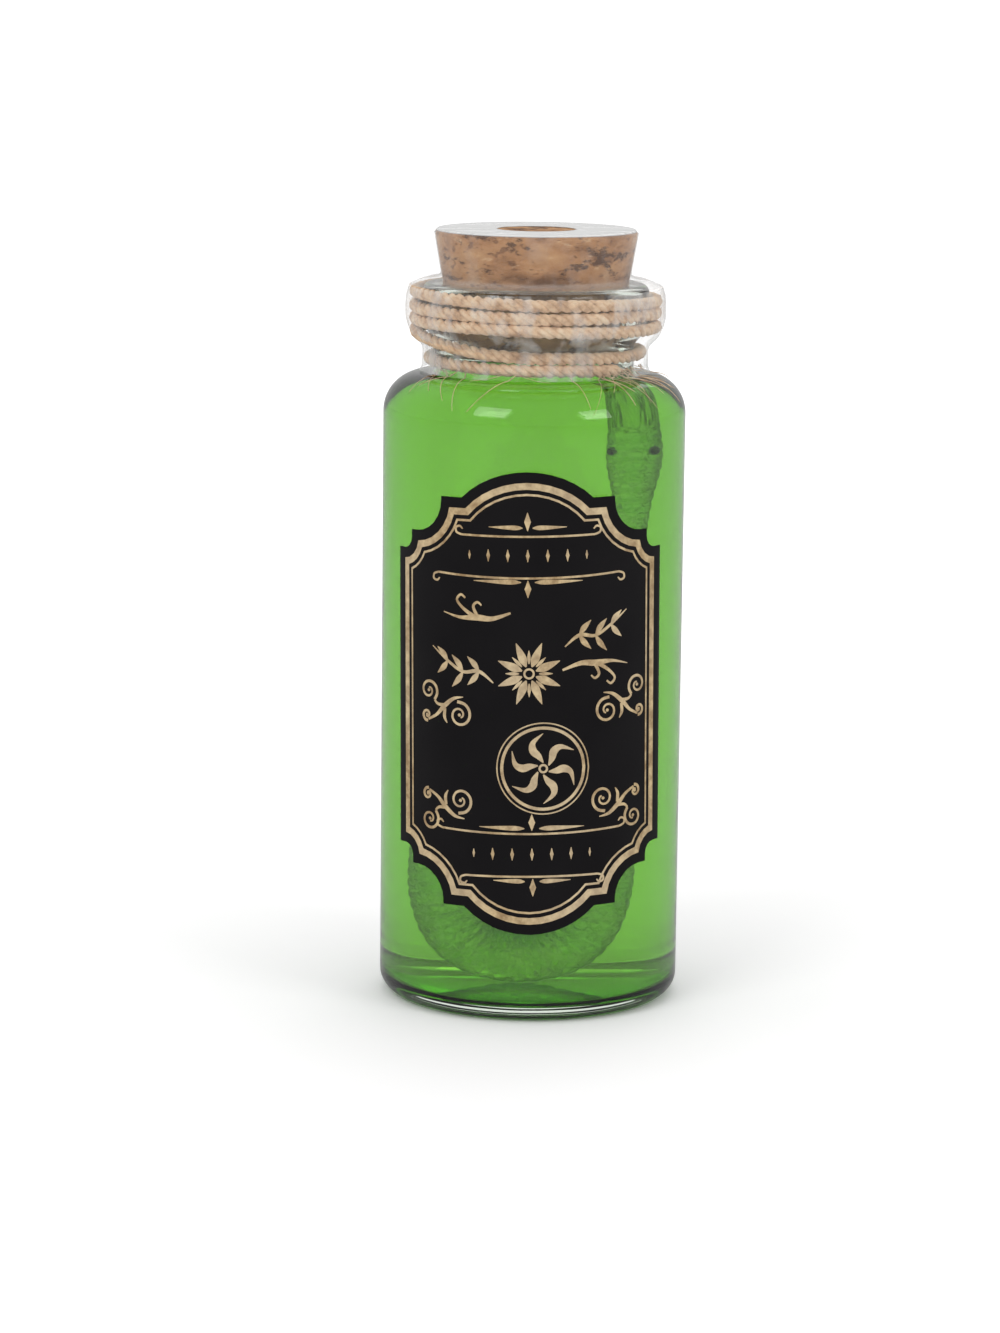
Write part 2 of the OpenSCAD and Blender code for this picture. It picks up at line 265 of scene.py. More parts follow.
def dress(piece, material, body, slotName, *nodes):
    # Gives a piece its material and its body, and hides the CAD nodes that it stands for; slotName is not
    # used
    piece.data.materials.clear()
    piece.data.materials.append(material)
    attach(piece, body)
    if nodes:
        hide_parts(*nodes)
    return piece


def smoothNode(node, material):
    # A CAD node keeps its mesh: a weld and an edge split give it smooth shading
    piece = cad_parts[node]
    piece.data.materials.clear()
    piece.data.materials.append(material)
    piece.data.polygons.foreach_set("use_smooth", np.full(len(piece.data.polygons), True))
    weld = piece.modifiers.new("weld", "WELD")
    weld.merge_threshold = 1e-7
    split = piece.modifiers.new("split", "EDGE_SPLIT")
    split.split_angle = np.radians(35)


# Glass bottle

print("glass")
glass = {
    "bodyR": 25, "bodyH": 104.5, "wall": 2, "floorT": 2.4, "heelR": 3.6, "shoulderR": 6.5,
    "puntH": 0.9, "puntR": 18, "floorRound": 3,
    "neckR": 16.3, "neckRound": 0.8, "neckIn": 14.7, "neckInRound": 1,
    "slopeLow": 109.4, "slopeBendIn": 1.2, "slopeBendUp": 1.4,  # in from the lip, and up from its foot
    "mouthZ": 119.2, "mouthR": 15.35, "mouthRound": 0.4, "mouthDeep": 6,
    "lipR": 18.7, "lipLow": 112.2, "lipBegin": 0.4, "lipRound": 1.4,
    "step": 3.0, "sides": 192}
bodyR, bodyH, mouthZ = glass["bodyR"], glass["bodyH"], glass["mouthZ"]
wallTop = bodyH - glass["shoulderR"]
shoulderMiddle = bodyR - glass["shoulderR"]


def insideLine(grow, topZ):
    # The inside from the middle of the floor to the neck, moved outwards by grow
    floorRound, neckInRound = glass["floorRound"], glass["neckInRound"]
    return np.vstack([
        [[0, glass["floorT"] - grow]],
        arc(bodyR - glass["wall"] - floorRound, glass["floorT"] + floorRound, floorRound + grow, -90, 0),
        arc(shoulderMiddle, wallTop, glass["shoulderR"] - glass["wall"] + grow, 0, 90, 20),
        arc(glass["neckIn"] + neckInRound, bodyH - glass["wall"] + neckInRound, neckInRound - grow,
            270, 180, 6),
        [[glass["neckIn"] + grow, topZ]]])


puntArc = (glass["puntR"] ** 2 + glass["puntH"] ** 2) / (2 * glass["puntH"])
puntAngle = np.degrees(np.arcsin(glass["puntR"] / puntArc))
glassLine = np.vstack([
    arc(0, glass["puntH"] - puntArc, puntArc, 90, 90 - puntAngle, 12),
    arc(bodyR - glass["heelR"], glass["heelR"], glass["heelR"], -90, 0),
    arc(shoulderMiddle, wallTop, glass["shoulderR"], 0, 90, 24),
    arc(glass["neckR"] + glass["neckRound"], bodyH + glass["neckRound"], glass["neckRound"], 270, 180, 6),
    spline([[glass["neckR"], glass["slopeLow"]],
            [glass["lipR"] - glass["slopeBendIn"], glass["slopeLow"] + glass["slopeBendUp"]],
            [glass["lipR"], glass["lipLow"] + glass["lipBegin"]]], 6),
    arc(glass["lipR"] - glass["lipRound"], mouthZ - glass["lipRound"], glass["lipRound"], 0, 90, 10),
    arc(glass["mouthR"] + glass["mouthRound"], mouthZ - glass["mouthRound"], glass["mouthRound"],
        90, 180, 5),
    insideLine(0, mouthZ - glass["mouthDeep"])[::-1]])
glassLine[:, 0] = np.maximum(glassLine[:, 0], 0)

clearGlass = Look("clearGlass")
ripple = clearGlass.noise(clearGlass.place(), 60, 2)
glassLook = clearGlass.finish({
    "Base Color": (0.9, 0.975, 0.88), "Roughness": 0.0, "IOR": 1.5, "Transmission Weight": 1.0,
    "Normal": clearGlass.bump(ripple, 0.0004, 0.25)})
bottle = turned("bottleGlass", resample(glassLine, glass["step"]), glass["sides"])
dress(bottle, glassLook, "bottle", "clear_glass", "glass_bottle")


# Green liquid: a little way into the glass, so that no air lies between them

print("liquid")
liquid = {"top": 105.6, "intoGlass": 0.05,
          "meniscus": ((0.5, 0.35), (1.2, 0.6), (2.4, 0.7))}  # each in from the rim, and down from it
rimR = glass["neckIn"] + liquid["intoGlass"]
liquidLine = np.vstack([
    insideLine(liquid["intoGlass"], liquid["top"]),
    [[rimR - inwards, liquid["top"] - down] for inwards, down in liquid["meniscus"]],
    [[0, liquid["top"] - liquid["meniscus"][-1][1]]]])
green = Look("greenLiquid")
absorb = green.add("ShaderNodeVolumeAbsorption", None, {"Color": (0.8, 0.9, 0.05), "Density": 32.0})
liquidLook = green.finish({"Base Color": (0.24, 0.57, 0.125), "Roughness": 0.0, "IOR": 1.34,
                           "Transmission Weight": 1.0}, absorb)
filling = turned("greenLiquid", resample(liquidLine, glass["step"]), glass["sides"])
dress(filling, liquidLook, "bottle", "liquid", "green_liquid")


# Snake

print("snake")
snake = {
    "r": 4.6, "tipR": 0.5, "napeR": 1.9, "headR": 3.4, "noseR": 1.1,
    "tailEnd": 0.3, "trunkEnd": 0.42, "napeAt": 0.82, "headAt": 0.92, "headFlat": 0.3,  # shares
    "bendR": 10, "bendX": -1.2, "bendTurn": 50, "low": 7.07, "top": 99.8,
    "pitch": 1.7, "bulge": 0.28, "bulgeFrom": 3, "scallops": 10, "scallopDeep": 0.5,
    "eyeR": 0.75, "eyeAt": 0.925, "eyeWide": 0.88, "eyeFront": 0.62, "eyes": {"Left": 205, "Right": 335},
    "steps": 40, "sides": 40}
left, right = snake["bendX"] - snake["bendR"], snake["bendX"] + snake["bendR"]
offX = snake["bendR"] * np.cos(np.radians(snake["bendTurn"]))
offZ = snake["low"] + snake["bendR"] * (1 - np.sin(np.radians(snake["bendTurn"])))


def limbZ(part):
    # The height at a share of the limbs, from the ends of the bend to the top
    return snake["low"] + snake["bendR"] + part * (snake["top"] - snake["low"] - snake["bendR"])


# From the tail, behind the label, down round the bend and up to the head on the right
snakePath = spline([
    [left + 4.5, 3, limbZ(0.56)], [left + 1.2, 2.5, limbZ(0.36)], [left - 0.6, 1.5, limbZ(0.16)],
    [left, 0.5, limbZ(0)], [snake["bendX"] - offX, 0, offZ], [snake["bendX"], 0, snake["low"]],
    [snake["bendX"] + offX, 0.5, offZ], [right, 1, limbZ(0)], [right + 1, 2, limbZ(0.18)],
    [right + 1.6, 3, limbZ(0.4)], [right + 2.4, 4, limbZ(0.6)], [right + 2.8, 4.5, limbZ(0.78)],
    [right + 3, 4.5, limbZ(0.9)], [right + 2.8, 4, limbZ(1)]], snake["steps"])


def headShare(s):
    # 0 up to the nape and 1 from the widest place of the head on
    return ease((s - snake["napeAt"]) / (snake["headAt"] - snake["napeAt"]))


def snakeWidth(s):
    # Half width against the share of the length: the tail swells into the trunk, the trunk thins
    # to the nape, the head swells again, and the nose ends it as a quarter of an ellipse
    tail = snake["tipR"] + (snake["r"] - snake["tipR"]) * ease(s / snake["tailEnd"])
    thin = ease((s - snake["trunkEnd"]) / (snake["napeAt"] - snake["trunkEnd"]))
    trunk = snake["r"] + (snake["napeR"] - snake["r"]) * thin
    head = snake["napeR"] + (snake["headR"] - snake["napeR"]) * headShare(s)
    out = np.clip(1 - ((s - snake["headAt"]) / (1 - snake["headAt"])) ** 2, 0, 1)
    nose = snake["noseR"] + (snake["headR"] - snake["noseR"]) * np.sqrt(out)
    return np.select([s < snake["tailEnd"], s < snake["napeAt"], s < snake["headAt"]],
                     [tail, trunk, head], nose)


share = np.linspace(0, 1, len(snakePath))
along = headings(snakePath)
front = np.array([0, 1, 0]) - along[:, 1:2] * along
front /= np.linalg.norm(front, axis=1, keepdims=True)
side = np.cross(along, front)
angle = 2 * np.pi * np.arange(snake["sides"]) / snake["sides"]
# Belly scales: a row of soft ridges along the body, in scallops round it
ridge = np.abs(np.sin(np.pi * runOf(snakePath)[:, None] / snake["pitch"]
                      + snake["scallopDeep"] * np.sin(angle * snake["scallops"])[None, :]))
plain = snakeWidth(share)
width = plain[:, None] - snake["bulge"] * (1 - ridge) * ease(plain / snake["bulgeFrom"])[:, None]
depth = width * (1 - snake["headFlat"] * headShare(share))[:, None]
snakeGrid = (snakePath[:, None] + (width * np.cos(angle))[..., None] * side[:, None]
             - (depth * np.sin(angle))[..., None] * front[:, None])
skin = Look("snakeSkin")
where = skin.place()
mottle = skin.mask(skin.noise(where, 260, 3), 0.4, 0.62)
scales = skin.add("ShaderNodeTexVoronoi", {"feature": "DISTANCE_TO_EDGE"},
                  {"Vector": where, "Scale": 720.0})
skinLook = skin.finish({
    "Base Color": skin.mix(mottle, (0.8, 1.0, 0.5), (0.98, 1.0, 0.8)), "Roughness": 0.24,
    "Transmission Weight": 0.86, "IOR": 1.38,
    "Normal": skin.bump(skin.mask(scales, 0.0, 0.12), 0.0003, 0.6)})
snakeBody = tidyNormals(gridMesh("snakeBody", snakeGrid, capEnds=True))
dress(snakeBody, skinLook, "bottle", "snake_rubber", "rubber_snake")


def ball(r, rows=12, columns=20):
    # Points of a ball at the origin: one angle down from its top, the other round it
    down = np.linspace(0, np.pi, rows + 1)[:, None]
    about = (2 * np.pi * np.arange(columns) / columns)[None, :]
    return r * np.stack([np.sin(down) * np.cos(about), np.sin(down) * np.sin(about),
                         np.cos(down) + 0 * about], -1)


eyeDark = Look("eyeDark")
gloss = eyeDark.noise(eyeDark.place(), 900, 2)
eyeLook = eyeDark.finish({"Base Color": (0.01, 0.012, 0.01), "Roughness": 0.12 + 0.1 * gloss})
eyeRow = int(snake["eyeAt"] * len(snakePath))
for sideName, turn in snake["eyes"].items():
    a = np.radians(turn)
    spot = (snakePath[eyeRow] + side[eyeRow] * width[eyeRow, 0] * snake["eyeWide"] * np.cos(a)
            + front[eyeRow] * width[eyeRow, 0] * snake["eyeFront"] * np.sin(a))
    eye = tidyNormals(gridMesh("snakeEye" + sideName, spot + ball(snake["eyeR"])))
    dress(eye, eyeLook, "bottle", "snake_rubber")


# Cork stopper

print("cork")
cork = {
    "r": 15.3, "taper": 0.16, "low": 107.4, "top": 127.9, "edge": 0.4, "edgeLean": 0.06,
    "pits": 170, "pitSize": (0.25, 0.9), "pitPower": 1.4, "pitDeep": (0.1, 0.42),
    "pitRound": 0.1, "pitHigh": 0.8,  # radians and millimetres for a size of 1
    "sideFrom": 12.5, "sideFull": 13.3, "step": 0.35, "sides": 320}


def corkRadius(z):
    # The side is a cone that meets the mouth at the cork's own radius
    return cork["r"] + (z - mouthZ) * cork["taper"]


lowR, topR = corkRadius(cork["low"]), corkRadius(cork["top"])
corkLine = resample([
    [0, cork["low"]], [lowR - cork["edge"], cork["low"]], [lowR, cork["low"] + cork["edge"]],
    [topR - cork["edgeLean"], cork["top"] - cork["edge"]], [topR - cork["edge"], cork["top"]],
    [0, cork["top"]]], cork["step"])
pitAngle = draw.uniform(0, 2 * np.pi, cork["pits"])
pitZ = draw.uniform(cork["low"], cork["top"], cork["pits"])
pitSize = draw.uniform(*cork["pitSize"], cork["pits"]) ** cork["pitPower"]
pitDeep = draw.uniform(*cork["pitDeep"], cork["pits"])


def corkPits(angle, r, z):
    # Each pit is a bell-shaped bite out of the side, wider round than high; the deepest one counts
    dent = np.zeros((z.shape[0], angle.shape[1]))
    for a, h, size, deep in zip(pitAngle, pitZ, pitSize, pitDeep):
        gap = (angle - a + np.pi) % (2 * np.pi) - np.pi
        off = (gap / (cork["pitRound"] * size)) ** 2 + ((z - h) / (cork["pitHigh"] * size)) ** 2
        dent = np.maximum(dent, deep * np.exp(-off))
    return -dent * np.clip((r - cork["sideFrom"]) / (cork["sideFull"] - cork["sideFrom"]), 0, 1)


bark = Look("corkBark")
flat = bark.place((1, 1, 2.2))
coarse = bark.noise(flat, 110, 6, 0.62)
fine = bark.noise(bark.place(), 620, 4, 0.6)
speck = bark.mask(bark.noise(flat, 420, 2, 0.6), 0.6, 0.66)
fleck = bark.mask(bark.noise(flat, 260, 3, 0.7), 0.62, 0.7)
dark = bark.mask(bark.noise(flat, 150, 5, 0.68), 0.57, 0.63)
tone = bark.ramp(coarse, (0.32, (0.22, 0.095, 0.035)), (0.48, (0.47, 0.235, 0.1)),
                 (0.68, (0.62, 0.36, 0.175)))
tone = bark.mix(0.4 * fleck, tone, (0.78, 0.56, 0.35))
tone = bark.mix(0.85 * dark, tone, (0.09, 0.035, 0.015))
tone = bark.mix(0.6 * speck, tone, (0.14, 0.055, 0.025))
corkLook = bark.finish({
    "Base Color": tone, "Roughness": 0.78 + 0.15 * fine,
    "Normal": bark.bump(coarse * 0.6 + fine * 0.4 - dark * 0.5, 0.0005, 0.8)})
stopper = turned("corkStopper", corkLine, cork["sides"], corkPits)
dress(stopper, corkLook, "stopper", "cork", "cork_stopper")


# Jute twine

print("twine")
twine = {
    "d": 2.02, "pitch": 2.15, "aboveBody": 1.5, "belowMouth": 1.05, "offGlass": 0.04, "start": 50,
    "neckTurns": 1.12, "climbTurns": 0.3, "lipTurns": 3.18, "perTurn": 170,
    "waverUp": ((0.12, 9.1), (0.07, 23.7)), "waverOut": (0.08, 14.3),  # size, and radians in a turn
    "plies": 3, "lay": 5.2, "plySwing": 0.26, "plyR": 0.27, "plyUneven": 0.07, "unevenRate": 1.9,
    "plyRough": 0.05, "plySides": 8}
neckZ = bodyH + twine["aboveBody"]
climbZ = neckZ + twine["neckTurns"] * twine["pitch"]
lipZ = mouthZ - twine["belowMouth"] - twine["lipTurns"] * twine["pitch"]
climbEnd = twine["neckTurns"] + twine["climbTurns"]
half = twine["d"] / 2
neckPath = glass["neckR"] + half + twine["offGlass"]
lipPath = glass["lipR"] + half + twine["offGlass"]


def twineAt(turn):
    # The middle of the winding: an even pitch round the neck, an eased climb up the slope, then the
    # same pitch round the lip, with a small waver up and outwards
    up = ease((turn - twine["neckTurns"]) / twine["climbTurns"])
    z = np.select([turn < twine["neckTurns"], turn < climbEnd],
                  [neckZ + turn * twine["pitch"], climbZ + (lipZ - climbZ) * up],
                  lipZ + (turn - climbEnd) * twine["pitch"])
    for size, rate in twine["waverUp"]:
        z = z + size * np.sin(turn * rate)
    a = np.radians(twine["start"] - 360 * turn)
    size, rate = twine["waverOut"]
    r = neckPath + (lipPath - neckPath) * up + size * np.abs(np.sin(turn * rate))
    return np.stack([r * np.sin(a), -r * np.cos(a), z], -1), a


totalTurns = climbEnd + twine["lipTurns"]
core, coreAngle = twineAt(np.linspace(0, totalTurns, int(totalTurns * twine["perTurn"])))
coreRun = runOf(core)
outward = np.stack([np.sin(coreAngle), -np.cos(coreAngle), 0 * coreAngle], -1)
upward = np.array([0.0, 0.0, 1.0])
plies, plyR = [], []
for k in range(twine["plies"]):
    phase = 2 * np.pi * (coreRun / twine["lay"] + k / twine["plies"])
    swing = np.cos(phase)[:, None] * outward + np.sin(phase)[:, None] * upward
    plies.append(core + twine["plySwing"] * twine["d"] * swing)
    slow = twine["plyUneven"] * np.sin(coreRun * twine["unevenRate"] + k)
    rough = twine["plyRough"] * draw.standard_normal(len(core))
    plyR.append(twine["plyR"] * twine["d"] * (1 + slow + rough))
jute = Look("juteTwine")
tone = jute.ramp(jute.noise(jute.place(), 420, 4, 0.6), (0.32, (0.5, 0.3, 0.17)),
                 (0.5, (0.82, 0.57, 0.36)), (0.68, (0.95, 0.76, 0.54)))
thread = jute.noise(jute.place((1, 1, 3.2)), 1500, 3, 0.7)
juteLook = jute.finish({
    "Base Color": tone, "Roughness": 0.85, "Sheen Weight": 0.25, "Sheen Roughness": 0.5,
    "Normal": jute.bump(thread, 0.0003, 0.8)})
winding = tidyNormals(tubes("twineWinding", np.array(plies), np.array(plyR), twine["plySides"]))
dress(winding, juteLook, "bottle", "jute", "twine_wrap")

# Loose fibres: each leaves the surface, drifts along the twine and curls away, thinner to its tip
fibre = {"count": 620, "r": 0.062, "thin": 0.7, "rVary": (0.6, 1.1), "reach": (0.4, 1.5),
         "height": (-0.2, 1.0), "drift": (-1.2, 1.2), "rootOut": 0.63, "rootUp": 0.54,
         "stray": 0.28, "curl": 0.5, "points": 7, "sides": 3}
t = np.linspace(0, 1, fibre["points"])
at = draw.integers(4, len(core) - 4, fibre["count"])
height = draw.uniform(*fibre["height"], fibre["count"])
reach = draw.uniform(*fibre["reach"], fibre["count"])[:, None, None]
drift = draw.uniform(*fibre["drift"], (fibre["count"], 2))
root = core[at] + half * (fibre["rootOut"] * outward[at] + fibre["rootUp"] * height[:, None] * upward)
leaving = fibre["stray"] * outward[at][:, None] + drift[:, :1, None] * headings(core)[at][:, None]
curling = fibre["curl"] * drift[:, 1:, None] * (t ** 2)[None, :, None] * reach * upward
fibrePaths = root[:, None] + t[None, :, None] * reach * leaving + curling
fibreR = fibre["r"] * (1 - fibre["thin"] * t)[None, :] * draw.uniform(*fibre["rVary"], (fibre["count"], 1))
dress(tubes("twineFuzz", fibrePaths, fibreR, fibre["sides"]), juteLook, "bottle", "jute")

# Frayed lower end: fibres fan out from the neck, lie on the shoulder and hang down the wall
fray = {"count": 64, "r": 0.085, "thin": 0.6, "rVary": (0.7, 1.5), "points": 14, "sides": 4,
        "tufts": (50, 50, 50, 50, 30, 72, -12, -48, -62), "spread": (-14, 9), "length": (2, 14),
        "short": 0.35, "turnAway": (-20, 30), "turnPower": 1.3, "startVary": (-0.4, 0.5),
        "rootUp": 0.3, "dip": 1.5, "flatRun": 5.0, "offGlass": 0.3, "bendMore": 0.25}
n = fray["count"]
steps = np.linspace(0, 1, fray["points"])
fan = np.radians(draw.choice(fray["tufts"], n) + draw.uniform(*fray["spread"], n))
length = draw.uniform(*fray["length"], n)
length[draw.permutation(n)[: n // 2]] *= fray["short"]
out = steps[None, :] * length[:, None]
turnAway = np.radians(draw.uniform(*fray["turnAway"], n))[:, None] * steps[None, :] ** fray["turnPower"]
rootR = neckPath + draw.uniform(*fray["startVary"], n)[:, None]
flatShare = out / fray["flatRun"]
overShoulder = np.clip(out - fray["flatRun"], 0, None)
bendR = glass["shoulderR"] + fray["bendMore"]
bend = np.clip(overShoulder / bendR, 0, np.pi / 2)
hang = np.clip(overShoulder - bendR * np.pi / 2, 0, None)
coverR = glass["shoulderR"] + fray["offGlass"]
radius = np.where(flatShare < 1, rootR + (shoulderMiddle - rootR) * flatShare,
                  shoulderMiddle + coverR * np.sin(bend))
frayZ = np.where(flatShare < 1, neckZ + fray["rootUp"] - fray["dip"] * flatShare,
                 wallTop + coverR * np.cos(bend)) - hang
theta = fan[:, None] + turnAway
frayPaths = np.stack([radius * np.sin(theta), -radius * np.cos(theta), frayZ], -1)
frayR = fray["r"] * (1 - fray["thin"] * steps)[None, :] * draw.uniform(*fray["rVary"], (n, 1))
dress(tubes("twineFray", frayPaths, frayR, fray["sides"]), juteLook, "bottle", "jute")


# Shrink film: the cap rides the cork, and the skirt stays on the neck

print("film")
film = {
    "t": 0.12, "wideR": 21.45, "narrowR": 18.75, "hole": 6.5, "holeRing": 10, "hug": 0.18,
    "tearIn": 0.75, "tearDown": 0.15, "tentUp": 1.8, "step": 0.5, "sides": 288,
    "wrinkle": 0.11, "inwards": 0.6, "lipFold": (110.5, 2.2), "corkFold": (120, 0.9), "corkShare": 0.5,
    "evenFold": 0.35, "evenUpTo": 119.4,
    # size, count round the film, sway, count of the sway, its twist with height, and lean with height
    "waves": ((0.5, 23, 2.1, 3, 0, 0), (0.3, 41, 1.7, 5, 1, 0), (0.4, 9, 0, 0, 0, 0.8))}
wideR, narrowR, lipLow = film["wideR"], film["narrowR"], glass["lipLow"]
tearR, tearZ = wideR - film["tearIn"], mouthZ - film["tearDown"]
skirtLine = spline([
    [tearR + 0.3, tearZ - 0.3], [wideR - 0.05, mouthZ - 1.9], [wideR + 0.1, mouthZ - 3.8],
    [wideR, mouthZ - 5.8], [wideR - 0.6, lipLow - 0.7], [(wideR + narrowR) / 2, lipLow - 1.9],
    [narrowR + 0.1, lipLow - 3.4], [narrowR, bodyH + 2.15], [narrowR + 0.05, bodyH + 1],
    [narrowR + 0.35, bodyH + 0.35]], 7)
tentZ = mouthZ + film["tentUp"]
tentR = corkRadius(tentZ) + film["hug"]
coverZ = cork["top"] + film["hug"]
capLine = np.vstack([
    [[film["hole"], coverZ], [film["holeRing"], coverZ], [topR - cork["edge"], coverZ],
     [topR + film["hug"], cork["top"] - cork["edge"]]],
    spline([[tentR, tentZ], [tentR + 0.5, tentZ - 0.75], [(tentR + tearR) / 2 + 0.25, mouthZ + 0.65],
            [tearR, tearZ]], 8)])


def shell(line, t):
    # A thin closed wall: the line, and the same line moved inwards by t
    d = headings(line)
    return np.vstack([line, (line + t * np.stack([d[:, 1], -d[:, 0]], 1))[::-1]])


def hump(z, middle, reach):
    # A bell curve of height 1
    return np.exp(-((z - middle) / reach) ** 2)


def folds(angle, r, z):
    # Shrink wrinkles: waves round the film, each bent by a slower one, strongest under the lip and
    # beside the cork
    loose = (hump(z, *film["lipFold"]) + film["evenFold"] * (z < film["evenUpTo"])
             + film["corkShare"] * hump(z, *film["corkFold"]))
    pleat = sum(size * np.sin(count * angle + sway * np.sin(swayCount * angle + twist * z) + lean * z)
                for size, count, sway, swayCount, twist, lean in film["waves"])
    return film["wrinkle"] * loose * (pleat - film["inwards"])


wrap = Look("shrinkFilm")
# Creases: whiter film along its wrinkles everywhere, and more so round the twine as painted highlights
crease = wrap.mask(wrap.noise(wrap.place((1, 1, 0.5)), 210, 3, 0.6), 0.5, 0.68)
heights = wrap.add("ShaderNodeSeparateXYZ", None, {0: wrap.place()}, out=2)
paintedReflectionRing = wrap.mask(heights, (cork["top"] - 0.15) * mm, (cork["top"] + 0.05) * mm)  # the ring on the cork, nearly opaque white: a painted reflection of a lamp
paintedHighlightBelow = 1 - wrap.mask(heights, (mouthZ - 0.7) * mm, (mouthZ + 0.5) * mm)  # round the twine, where the creases get extra white: painted highlights
# Whiter where the film is seen edge-on: a painted sheen
paintedEdgeSheen = wrap.add("ShaderNodeLayerWeight", None, {"Blend": 0.35}, out="Facing")
filmLook = wrap.finish({
    "Base Color": (0.93, 0.93, 0.92), "Roughness": 0.16, "IOR": 1.5,
    "Alpha": 0.03 + (0.05 + 0.2 * paintedHighlightBelow) * crease + 0.45 * paintedEdgeSheen ** 2.6 + 0.7 * paintedReflectionRing,
    "Normal": wrap.bump(crease, 0.0004, 0.6)})
capFilm = turned("filmCap", shell(resample(capLine, film["step"]), film["t"]), film["sides"], folds)
dress(capFilm, filmLook, "stopper", "film", "seal_cap")
skirtFilm = turned("filmSkirt", shell(resample(skirtLine, film["step"]), film["t"]), film["sides"], folds)
dress(skirtFilm, filmLook, "bottle", "film", "seal_skirt")


# Paper label and its gold border

print("label")
label = {"middleZ": 53.1, "tilt": 1.0, "shift": -0.45, "paperR": 25.17, "foil": 0.05}
paper = Look("blackPaper")
where = paper.place()
grain = paper.noise(where, 2400, 3, 0.6)
cloud = paper.noise(where, 70, 3, 0.5)
paperLook = paper.finish({
    "Base Color": paper.ramp(cloud, (0.3, (0.004, 0.0033, 0.0042)), (0.7, (0.007, 0.006, 0.007))),
    "Roughness": 0.42 + 0.12 * grain, "Specular IOR Level": 0.12,
    "Normal": paper.bump(grain, 0.00003, 0.5)})
smoothNode("paper_label", paperLook)
gold = Look("goldFoil")
worn = gold.noise(gold.place(), 520, 4, 0.65)
patch = gold.noise(gold.place((1, 1, 0.6)), 60, 2, 0.5)
goldTone = gold.mix(gold.mask(worn, 0.35, 0.65), (0.36, 0.23, 0.11), (0.74, 0.56, 0.31))
goldTone = gold.mix(0.35 * gold.mask(patch, 0.4, 0.62), goldTone, (0.82, 0.7, 0.5))
goldLook = gold.finish({"Base Color": goldTone, "Metallic": 0.25, "Roughness": 0.38 + 0.15 * worn,
                        "Normal": gold.bump(worn, 0.00005, 0.4)})
smoothNode("foil_border", goldLook)


# Gold ornaments: strokes in label millimetres, across and up from the label's middle

strokes = []


def stroke(points, widths, smooth=8):
    # A gold line: a curve through its points that has the given width at each of them
    p = np.column_stack([np.asarray(points, float), np.asarray(widths, float)])
    strokes.append(spline(p, smooth) if smooth > 1 else resample(p, 0.6))


def moved(points, x, y, way=1, up=1):
    # Points about (x, y), mirrored where way or up is -1
    return [(x + way * a, y + up * b) for a, b in points]


def circle(x, y, r, wide, smooth):
    # A ring about (x, y), as a closed curve through 24 places
    t = np.linspace(0, 2 * np.pi, 25)
    stroke(np.stack([x + r * np.cos(t), y + r * np.sin(t)], 1), np.full(len(t), wide), smooth)


def curl(x, y, r, start, turn, flip):
    # A spiral that winds in from angle start through turn degrees, with a dot at its middle
    wide, thin, rest = 0.5, 0.28, 0.22
    t = np.linspace(0, 1, 15)
    a = np.radians(start + flip * turn * t)
    q = r * (1 - (1 - rest) * t)
    stroke(np.stack([x + q * np.cos(a), y + q * np.sin(a)], 1), wide + (thin - wide) * t, 3)
    strokes.append(np.array([[x + across, y, size] for across, size
                             in ((-0.28, 0.1), (-0.12, 0.5), (0.12, 0.5), (0.28, 0.1))]))


def diamond(x, y, wide, high):
    # A lozenge about (x, y): straight sides, high above and below its middle
    stroke([(x, y + high * share) for share in (1, 0.35, 0, -0.35, -1)],
           [0.1, 0.65 * wide, wide, 0.65 * wide, 0.1], 1)


def wings(x, y, inner, outer, thick):
    # Two leaves that taper away from the middle
    for way in (-1, 1):
        stroke(moved([(inner, 0), (inner + 0.25 * (outer - inner), 0.05), (outer, 0.12)], x, y, way),
               [0.15, thick, 0.1])


def rule(x, y, reach, sag, hook):
    # A thin line with a shallow bow, both ends rolled up or down
    wide = 0.34
    t = np.linspace(-1, 1, 9)
    stroke(np.stack([x + reach * t, y + sag * (1 - t ** 2)], 1), np.full(9, wide))
    for way in (-1, 1):
        stroke(moved([(reach, 0), (reach + 0.9, 0.35), (reach + 1.0, 1.1), (reach + 0.3, 1.35),
                      (reach - 0.2, 0.9)], x, y, way, hook), [wide, wide, wide, wide, 0.2])


def scroll(x, y, way, up):
    # Three curls that leave one stem, with two short leaves
    stroke(moved([(3.6, 1.3), (1.8, 0.9), (0, -0.5), (-1.5, -2.0), (-3.2, -2.9)], x, y, way, up),
           [0.15, 0.55, 0.75, 0.5, 0.4])
    curls = ((2.9, -1.7, 2.2, 100, 520, -1), (-3.1, 1.9, 1.9, -50, 500, 1), (-3.5, -2.2, 1.0, -80, 420, -1))
    for across, rise, r, start, turn, flip in curls:
        begin = start if way > 0 else 180 - start
        curl(x + way * across, y + up * rise, r, up * begin, turn, flip * way * up)
    stroke(moved([(0.2, -0.8), (0.1, -2.2), (0.6, -3.2)], x, y, way, up), [0.5, 0.55, 0.15])
    stroke(moved([(-1.9, 0.4), (-1.2, -0.2), (0.2, -0.3)], x, y, way, up), [0.35, 0.45, 0.6])


def flourish(x, y, way, up):
    # A long leaf with two small curls above it
    stroke(moved([(-6.0, 0.2), (-3.0, -0.5), (0, -0.4), (2.6, -0.5), (5.6, 0.5)], x, y, way, up),
           [0.15, 0.5, 1.0, 0.75, 0.35])
    stroke(moved([(-0.6, -0.2), (-2.4, 1.0), (-3.5, 2.3), (-2.8, 3.2), (-2.0, 2.7)], x, y, way, up),
           [0.7, 0.5, 0.4, 0.4, 0.3])
    stroke(moved([(0, -0.1), (-0.6, 1.4), (0.1, 2.1), (0.8, 1.6)], x, y, way, up), [0.6, 0.45, 0.4, 0.25])


